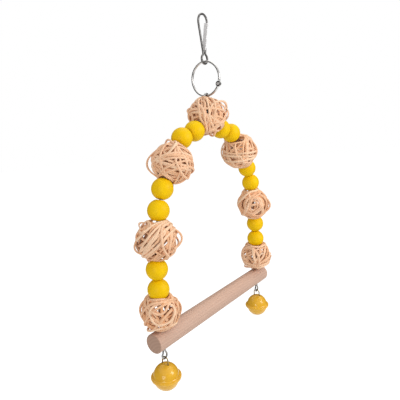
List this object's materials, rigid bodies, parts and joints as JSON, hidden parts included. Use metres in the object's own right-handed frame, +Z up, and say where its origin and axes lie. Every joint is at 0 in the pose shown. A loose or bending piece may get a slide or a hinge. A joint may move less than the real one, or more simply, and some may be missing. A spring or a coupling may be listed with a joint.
{
  "type": "bird swing",
  "caption": "Hanging bird swing: a dowel perch under a wire arch strung with woven rattan balls and painted wooden beads, with a jingle bell under each end and a ring and spring clip on top.",
  "frame": {"origin": "middle of the clip's hook, where the cage bar that carries the swing lies", "axes": "+X along the perch, +Y across the arch and along the bar in the hook, +Z up"},
  "size_m": [0.1623, 0.032, 0.2612],
  "materials": {
    "clip_steel": "nickel-plated wire",
    "leaf_steel": "bright rolled strip",
    "ring_steel": "bright nickel plating",
    "arch_steel": "bright drawn wire",
    "perch_wood": "bare sanded beech",
    "rattan": "bare split rattan",
    "bead_paint": "satin yellow paint on wood",
    "bell_paint": "gloss golden-yellow paint",
    "bell_wire": "plated wire",
    "pellet_steel": "plain"
  },
  "bodies": {
    "clip": {"clip_wire": "clip_steel"},
    "gate": {"clip_gate": "leaf_steel"},
    "ring_upper": {"ring_upper_half": "ring_steel", "ring_hinge_pin": "ring_steel"},
    "ring_lower": {"ring_lower_half": "ring_steel"},
    "swing": {"arch_wire": "arch_steel", "perch": "perch_wood", "top_ball": "rattan"},
    "left_bead_1": {"left_bead_1": "bead_paint"},
    "left_bead_2": {"left_bead_2": "bead_paint"},
    "left_bead_3": {"left_bead_3": "bead_paint"},
    "left_bead_4": {"left_bead_4": "bead_paint"},
    "left_bead_5": {"left_bead_5": "bead_paint"},
    "left_bead_6": {"left_bead_6": "bead_paint"},
    "left_lower_ball": {"left_lower_ball": "rattan"},
    "left_middle_ball": {"left_middle_ball": "rattan"},
    "left_upper_ball": {"left_upper_ball": "rattan"},
    "left_bell": {"left_bell_cap": "bell_paint", "left_bell_cup": "bell_paint", "left_bell_loop": "bell_wire"},
    "left_bell_pellet": {"left_bell_pellet": "pellet_steel"},
    "right_bead_1": {"right_bead_1": "bead_paint"},
    "right_bead_2": {"right_bead_2": "bead_paint"},
    "right_bead_3": {"right_bead_3": "bead_paint"},
    "right_bead_4": {"right_bead_4": "bead_paint"},
    "right_bead_5": {"right_bead_5": "bead_paint"},
    "right_bead_6": {"right_bead_6": "bead_paint"},
    "right_lower_ball": {"right_lower_ball": "rattan"},
    "right_middle_ball": {"right_middle_ball": "rattan"},
    "right_upper_ball": {"right_upper_ball": "rattan"},
    "right_bell": {"right_bell_cap": "bell_paint", "right_bell_cup": "bell_paint", "right_bell_loop": "bell_wire"},
    "right_bell_pellet": {"right_bell_pellet": "pellet_steel"}
  },
  "joints": [
    {"name": "gate_hinge", "type": "hinge", "parent": "clip", "child": "gate", "pos_m": [0, 0, -0.01887], "axis": [0, -1, 0], "range_deg": [0, 20], "stiffness_Nm_per_rad": 0.02, "springref_deg": -8.59},
    {"name": "ring_in_clip", "type": "hinge", "parent": "clip", "child": "ring_upper", "pos_m": [0, 0, -0.02895], "axis": [1, 0, 0], "range_deg": [-40, 40]},
    {"name": "ring_hinge", "type": "hinge", "parent": "ring_upper", "child": "ring_lower", "pos_m": [0, -0.01131, -0.04402], "axis": [-1, 0, 0], "range_deg": [0, 50]},
    {"name": "swing_in_ring", "type": "hinge", "parent": "ring_lower", "child": "swing", "pos_m": [0, 0, -0.05165], "axis": [0, 1, 0], "range_deg": [-30, 30]},
    {"name": "left_bead_1_spin", "type": "hinge", "parent": "swing", "child": "left_bead_1", "pos_m": [-0.066, 0, -0.17939], "axis": [0, 0, 1], "continuous": true},
    {"name": "left_bead_2_spin", "type": "hinge", "parent": "swing", "child": "left_bead_2", "pos_m": [-0.06598, 0, -0.16508], "axis": [0.0056, 0, 1], "continuous": true},
    {"name": "left_bead_3_spin", "type": "hinge", "parent": "swing", "child": "left_bead_3", "pos_m": [-0.0602, 0, -0.126], "axis": [0.3059, 0, 0.9521], "continuous": true},
    {"name": "left_bead_4_spin", "type": "hinge", "parent": "swing", "child": "left_bead_4", "pos_m": [-0.05488, 0, -0.1124], "axis": [0.4203, 0, 0.9074], "continuous": true},
    {"name": "left_bead_5_spin", "type": "hinge", "parent": "swing", "child": "left_bead_5", "pos_m": [-0.03138, 0, -0.08065], "axis": [0.8544, 0, 0.5196], "continuous": true},
    {"name": "left_bead_6_spin", "type": "hinge", "parent": "swing", "child": "left_bead_6", "pos_m": [-0.01675, 0, -0.07657], "axis": [0.9989, 0, 0.047], "continuous": true},
    {"name": "left_lower_ball_spin", "type": "hinge", "parent": "swing", "child": "left_lower_ball", "pos_m": [-0.066, 0, -0.19514], "axis": [0, 0, 1], "continuous": true},
    {"name": "left_middle_ball_spin", "type": "hinge", "parent": "swing", "child": "left_middle_ball", "pos_m": [-0.06309, 0, -0.14554], "axis": [0.1464, 0, 0.9892], "continuous": true},
    {"name": "left_upper_ball_spin", "type": "hinge", "parent": "swing", "child": "left_upper_ball", "pos_m": [-0.04313, 0, -0.09653], "axis": [0.595, 0, 0.8037], "continuous": true},
    {"name": "left_bell_swing", "type": "hinge", "parent": "swing", "child": "left_bell", "pos_m": [-0.06515, 0, -0.23143], "axis": [1, 0, 0], "range_deg": [-60, 60]},
    {"name": "left_bell_rattle", "type": "hinge", "parent": "left_bell", "child": "left_bell_pellet", "pos_m": [-0.06515, 0, -0.24613], "axis": [1, 0, 0], "range_deg": [-45, 45]},
    {"name": "right_bead_1_spin", "type": "hinge", "parent": "swing", "child": "right_bead_1", "pos_m": [0.066, 0, -0.17939], "axis": [0, 0, 1], "continuous": true},
    {"name": "right_bead_2_spin", "type": "hinge", "parent": "swing", "child": "right_bead_2", "pos_m": [0.06598, 0, -0.16508], "axis": [-0.0056, 0, 1], "continuous": true},
    {"name": "right_bead_3_spin", "type": "hinge", "parent": "swing", "child": "right_bead_3", "pos_m": [0.0602, 0, -0.126], "axis": [-0.3059, 0, 0.9521], "continuous": true},
    {"name": "right_bead_4_spin", "type": "hinge", "parent": "swing", "child": "right_bead_4", "pos_m": [0.05488, 0, -0.1124], "axis": [-0.4203, 0, 0.9074], "continuous": true},
    {"name": "right_bead_5_spin", "type": "hinge", "parent": "swing", "child": "right_bead_5", "pos_m": [0.03138, 0, -0.08065], "axis": [-0.8544, 0, 0.5196], "continuous": true},
    {"name": "right_bead_6_spin", "type": "hinge", "parent": "swing", "child": "right_bead_6", "pos_m": [0.01675, 0, -0.07657], "axis": [-0.9989, 0, 0.047], "continuous": true},
    {"name": "right_lower_ball_spin", "type": "hinge", "parent": "swing", "child": "right_lower_ball", "pos_m": [0.066, 0, -0.19514], "axis": [0, 0, 1], "continuous": true},
    {"name": "right_middle_ball_spin", "type": "hinge", "parent": "swing", "child": "right_middle_ball", "pos_m": [0.06309, 0, -0.14554], "axis": [-0.1464, 0, 0.9892], "continuous": true},
    {"name": "right_upper_ball_spin", "type": "hinge", "parent": "swing", "child": "right_upper_ball", "pos_m": [0.04313, 0, -0.09653], "axis": [-0.595, 0, 0.8037], "continuous": true},
    {"name": "right_bell_swing", "type": "hinge", "parent": "swing", "child": "right_bell", "pos_m": [0.06515, 0, -0.23143], "axis": [1, 0, 0], "range_deg": [-60, 60]},
    {"name": "right_bell_rattle", "type": "hinge", "parent": "right_bell", "child": "right_bell_pellet", "pos_m": [0.06515, 0, -0.24613], "axis": [1, 0, 0], "range_deg": [-45, 45]}
  ]
}
